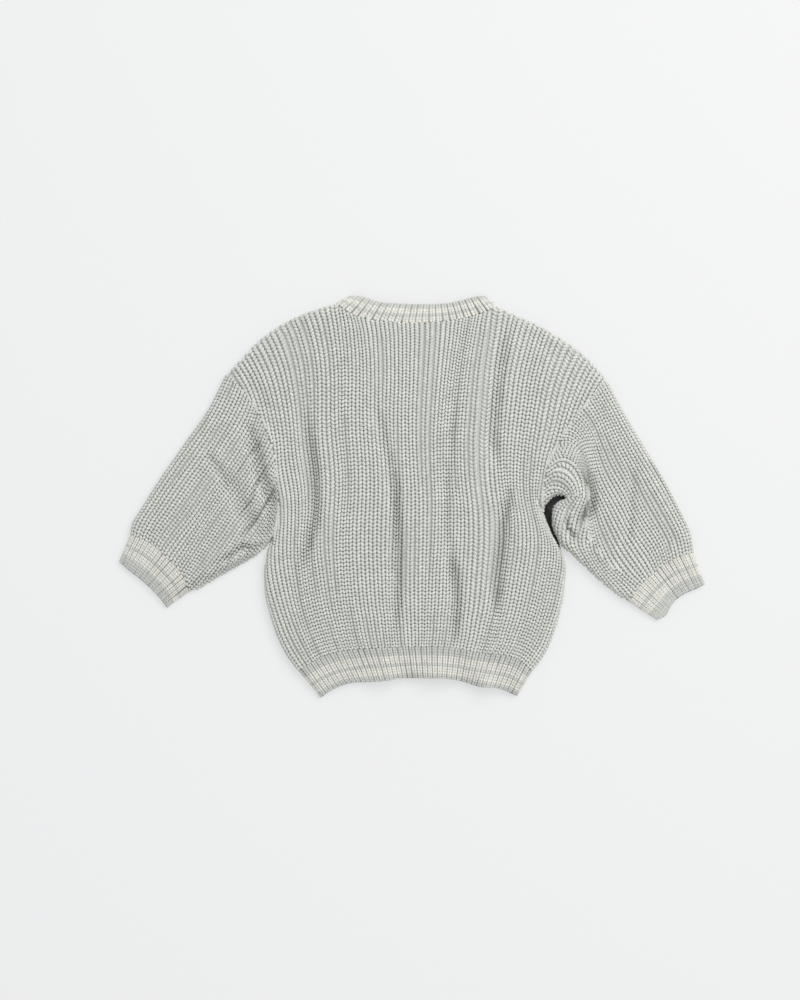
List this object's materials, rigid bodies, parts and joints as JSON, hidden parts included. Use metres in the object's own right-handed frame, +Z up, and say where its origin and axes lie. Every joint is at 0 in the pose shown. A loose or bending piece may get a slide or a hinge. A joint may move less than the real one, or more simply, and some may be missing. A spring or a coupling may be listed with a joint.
{
  "type": "toddler rib-knit pullover laid flat",
  "caption": "Chunky rib-knit toddler pullover laid flat, back up, with dropped shoulders, full sleeves and striped ribbed neckband, cuffs and hem.",
  "frame": {"origin": "on the surface it lies on, under the middle of the whole garment", "axes": "+X to the wearer's right, +Y from hem to neck, +Z up from the surface through the front to the back"},
  "size_m": [0.5264, 0.362, 0.0148],
  "materials": {
    "sage_knit": "matt chunky half-cardigan rib knit",
    "striped_rib": "matt rib knit, cream stripes on grey-green"
  },
  "bodies": {
    "root": {"back_panel": "sage_knit", "front_panel": "sage_knit", "left_sleeve": "sage_knit", "right_sleeve": "sage_knit", "left_cuff": "striped_rib", "right_cuff": "striped_rib", "hem_band": "striped_rib", "neckband": "striped_rib"}
  },
  "joints": []
}
